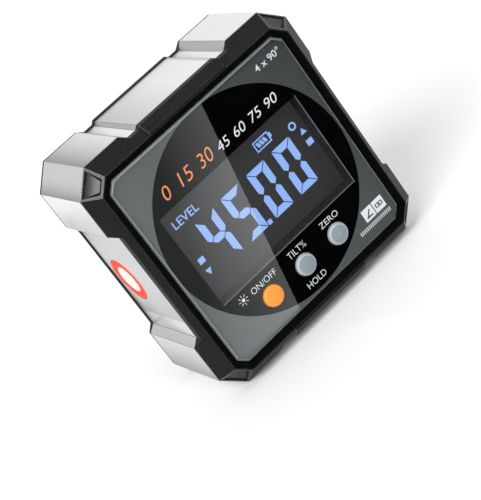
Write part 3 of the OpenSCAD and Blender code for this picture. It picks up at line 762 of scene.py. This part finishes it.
def dress_buttons():
    caps = {
        "power_button": moulded_cap("orange_cap", (0.9, 0.3, 0.022)),
        "hold_button": moulded_cap("grey_cap", (0.23, 0.285, 0.32)),
    }
    caps["zero_button"] = caps["hold_button"]
    # lighter copies of the cap plastics for the sides and rounded edges: a painted highlight
    edges = {"power_button": moulded_cap("orange_edge_highlight", (0.93, 0.35, 0.05))}
    grey_edge_highlight = moulded_cap("grey_edge_highlight", (0.41, 0.47, 0.495))
    for node, finish in caps.items():
        cap = dress(node, node + "_cap", finish, 0.58, 6, 40, edges.get(node, grey_edge_highlight))
        for face in cap.data.polygons:  # the side and its rounded edge take a lighter copy of the cap plastic, a painted highlight
            if face.normal.y > -0.8:
                face.material_index = 1


def dress_laser():
    red = red_lens_ring()
    milky = smooth_resin("milky_lens", (0.86, 0.8, 0.78), 0.2)
    brass = plated("turned_brass", (0.78, 0.57, 0.24))
    for side in ("left", "right"):
        dress(f"{side}_aperture_ring", f"{side}_ring", red, 0.12, 3)
        dress(f"{side}_aperture_lens", f"{side}_lens", milky, 0.06)
        dress(f"{side}_laser", f"{side}_barrel", brass, 0.08)


def dress_inside():
    resin = smooth_resin("black_resin", (0.03, 0.03, 0.032))
    nickel = plated("nickel", (0.66, 0.66, 0.67))
    jacket = cell_jacket()
    finishes = {
        "lcd_holder": HOLDER_BLACK,
        "lcd_panel": display_glass(),
        "backlight": smooth_resin("white_diffuser", (0.82, 0.82, 0.78)),
        "contact_strips": smooth_resin("pink_rubber", (0.45, 0.15, 0.19), 0.7),
        "key_switches": plated("switch_can", (0.55, 0.56, 0.57)),
        "main_board": solder_mask(),
        "laser_leads": smooth_resin("red_sleeve", (0.42, 0.025, 0.025), 0.4),
        "battery_leads": smooth_resin("dark_sleeve", (0.03, 0.03, 0.033), 0.4),
        "magnets": plated("magnet_nickel", (0.6, 0.61, 0.63), 0.16),
        "left_cell": jacket,
        "right_cell": jacket,
    }
    finishes.update({node: resin for node in ("processor", "tilt_sensor")})
    finishes.update({f"{key}_plunger": resin for key in ("power", "hold", "zero")})
    finishes.update({f"{end}_contact": nickel for end in ("bridge", "plus", "minus")})
    for node, finish in finishes.items():
        coat(node, finish)


def print_dial():
    """White and orange ink on the dial and in the corners."""
    row = marks_tree("row_of_marks", along_row)
    arc = marks_tree("arc_of_marks", round_arc)
    legends = [
        lettering("ON/OFF", -13.5, -6.3, -14.9, -13.45, PRINT_Y, -0.009),
        lettering("TILT%", -2.35, 2.7, -14.95, -13.4, PRINT_Y, -0.012),
        lettering("ZERO", 7.5, 12.75, -14.9, -13.5, PRINT_Y, -0.009),
        lettering("HOLD", -2.55, 2.8, -23.1, -21.65, PRINT_Y, -0.009),
        ring_mark(-15.9, -14.06, 0.39, 0, PRINT_Y, 24),
    ]
    rays = {
        "Count": 8, "Width": 0.13 * MM, "Length": 0.55 * MM, "Depth": INK, "Start": 0.0,
        "Step": math.tau / 8, "Radius": 0.97 * MM, "Finish": WHITE_INK,
    }
    legends.append(grown(arc, rays, -15.9, -14.06, PRINT_Y))
    joined("key_legends", legends, WHITE_INK, "case")

    low_numbers = [("0", -16.2, -14.2), ("15", -11.6, -7.9), ("30", -6.0, -2.0)]
    high_numbers = [("45", -0.6, 2.6), ("60", 4.1, 7.3), ("75", 8.8, 12.0), ("90", 13.5, 16.7)]
    low = [lettering(n, x0, x1, 13.55, 16.65, PRINT_Y, -0.006, 0.2) for n, x0, x1 in low_numbers]
    high = [lettering(n, x0, x1, 13.55, 15.75, PRINT_Y, -0.006, 0.2) for n, x0, x1 in high_numbers]
    joined("low_angle_numbers", low, ORANGE_INK, "case")
    joined("high_angle_numbers", high, WHITE_INK, "case")

    corner = [lettering("4 x 90\N{DEGREE SIGN}", 16.15, 23.1, 20.95, 22.6, PRINT_Y, 0.004)]
    corner += [box_mark(17.0, 19.95, -21.2, -18.3, PRINT_Y), box_mark(20.2, 23.15, -21.2, -18.3, PRINT_Y)]
    ruler = {
        "Count": 19, "Width": 0.2 * MM, "Length": 0.95 * MM, "Depth": INK, "Start": -4.5 * MM,
        "Step": 0.5 * MM, "Finish": WHITE_INK,
    }
    corner.append(grown(row, ruler, 18.75, -22.35, PRINT_Y))
    joined("corner_marks", corner, WHITE_INK, "case")

    on_plate = PRINT_Y - INK
    signs = [
        box_mark(17.55, 19.4, -20.7, -20.35, on_plate),
        outline([(17.55, -20.7), (17.95, -20.7), (19.25, -19.15), (18.97, -18.9)], on_plate),
        *frame_mark(20.65, 22.7, -20.25, -19.25, 0.25, on_plate),
        ring_mark(21.68, -19.75, 0.26, 0, on_plate, 20),
    ]
    joined("plate_signs", signs, GREY_INK, "case")

    # painted highlight: a light grey line only along the bottom and the right of the display opening, where
    # the edge of its wall catches light
    side, top, line = OPENING[0] / 2, OPENING[1] / 2, 0.16
    highlight_border = [
        box_mark(-side, side + line, -top - line, -top, PRINT_Y),
        box_mark(side, side + line, -top, top, PRINT_Y),
    ]
    joined("opening_highlight_border", highlight_border, EDGE_HIGHLIGHT_GREY, "case")


def light_display():
    """Lit digits and signs of the display."""
    lit = {"4": "fgbc", "5": "afgcd", "0": "abcdef"}
    pitch, wide, tall, bar, gap = 7.69, 5.3, 11.9, 1.65, 0.2
    left, low = -13.2, -7.44
    marks = []
    for i, number in enumerate("4500"):
        marks += digit_bars(left + pitch * i, low, wide, tall, bar, gap, lit[number], LCD_Y)
    marks.append(box_mark(0.0, 1.08, -7.5, -6.4, LCD_Y))
    joined("lit_digits", marks, LIT_BLUE, "case")

    signs = [
        lettering("LEVEL", -17.2, -10.3, 6.15, 8.1, LCD_Y, 0.008),
        ring_mark(17.2, 5.54, 0.97, 0.56, LCD_Y),
        outline([(17.75, 2.5), (19.4, 2.5), (18.57, 3.9)], LCD_Y),
        box_mark(17.75, 19.43, -0.5, 0.96, LCD_Y),
        box_mark(-17.5, -15.93, -3.36, -1.93, LCD_Y),
        outline([(-17.5, -4.93), (-16.73, -6.46), (-15.95, -4.93)], LCD_Y),
        *frame_mark(7.46, 11.8, 6.3, 8.8, 0.3, LCD_Y),
        box_mark(11.8, 12.3, 7.1, 8.2, LCD_Y),
    ]
    for i in range(3):
        x = 8.0 + 0.95 * i
        signs.append(outline([(x + 0.35, 7.0), (x + 1.1, 7.0), (x + 0.75, 8.2), (x, 8.2)], LCD_Y))
    joined("lit_signs", signs, LIT_BLUE, "case")


def mirrored_on_floor(spot):
    """Point of the floor that the camera sees mirrored at a spot on the window."""
    glass = DIAL_MIDDLE + Vector((spot[0] * MM, PRINT_Y, spot[1] * MM))
    ray = glass - CAMERA_AT
    ray.y = -ray.y
    return glass + ray * (glass.z / -ray.z)


def flat_sheet(name, corners, finish):
    mesh = bpy.data.meshes.new(name)
    mesh.from_pydata(corners, [], [tuple(range(len(corners)))])
    mesh.materials.append(finish)
    sheet = linked(name, mesh)
    return sheet


def mirror_card(name, start, run, side, first, last, fade=None):
    """Card just above the floor that shows only in mirrors; it fades along its run, or as told."""
    up = Vector((0, 0, CARD_LIFT))
    corners = [start + up, start + run + up, start + run + side + up, start + side + up]
    card = flat_sheet(name, corners, card_face(name, start, fade or run, first, last))
    card.visible_camera = False
    card.visible_diffuse = False
    card.visible_shadow = False
    card.visible_transmission = False


def build_studio():
    scene = bpy.context.scene
    scene.view_settings.view_transform = "Standard"
    signs = ((-1, -1), (1, -1), (1, 1), (-1, 1))
    corners = [(x * FLOOR_REACH, y * FLOOR_REACH, FLOOR_DROP) for x, y in signs]
    flat_sheet("floor", corners, plain_floor())

    near, far = mirrored_on_floor(GLARE_FOOT), mirrored_on_floor(GLARE_TOP)
    run = far - near
    across = Vector((0.6, 0, 0))
    fade = Vector((run.y, -run.x, 0)).normalized() * GLARE_FADE
    mirror_card("glare_card", near, run, -across, *GLARE_LEVELS, fade)
    mirror_card("dark_card", near - run * 0.01, run * 1.21, across * 0.07, 0.002, 0.0)
    beside = Vector((-31, 5, 0)) * MM
    mirror_card("side_card", beside, Vector((0, 0.13, 0)), Vector((-0.3, 0, 0)), 1.0, 0.64)
    lip = Vector((-30 * MM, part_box("front_bezel")[0][1] - 4 * MM, 0))
    mirror_card("bounce_card", lip, Vector((60, 0, 0)) * MM, Vector((0, 8, 0)) * MM, 0.5, 0.57)

    world = bpy.data.worlds.new("studio")
    scene.world = world
    world.use_nodes = True
    world.node_tree.nodes.clear()
    w = Wiring(world.node_tree)
    towards = w.node("ShaderNodeTexCoord", out="Generated")
    right = w.node("ShaderNodeSeparateXYZ", values={0: towards}, out="X")
    up = w.node("ShaderNodeSeparateXYZ", values={0: towards}, out="Z")
    side = right + 0.35 * up
    share = w.node("ShaderNodeMapRange", {"interpolation_type": "SMOOTHSTEP"}, {0: side, 1: -0.3, 2: 0.6})
    sky = w.node("ShaderNodeBackground", values={"Color": SKY_LOW + SKY_RISE * share, "Strength": 1.0})
    w.node("ShaderNodeOutputWorld", values={"Surface": sky})

    key = bpy.data.lights.new("key_light", "SUN")
    key.energy = KEY_LEVEL
    key.angle = KEY_SPREAD
    holder = linked("key_light", key)
    holder.rotation_euler = KEY_DIRECTION.to_track_quat("-Z", "Y").to_euler()


def set_camera():
    lens = bpy.data.cameras.new("photo_view")
    lens.lens = CAMERA_LENS
    lens.sensor_width = CAMERA_SENSOR
    lens.clip_start = 0.01
    eye = linked("photo_view", lens)
    aim = (CAMERA_AIM - CAMERA_AT).to_track_quat("-Z", "Y").to_matrix().to_4x4()
    turned = aim @ Matrix.Rotation(CAMERA_ROLL, 4, "Z")
    eye.matrix_world = Matrix.Translation(CAMERA_AT) @ turned
    bpy.context.scene.camera = eye


set_camera()
dress_case()
dress_window()
dress_buttons()
dress_laser()
dress_inside()
print_dial()
light_display()
build_studio()
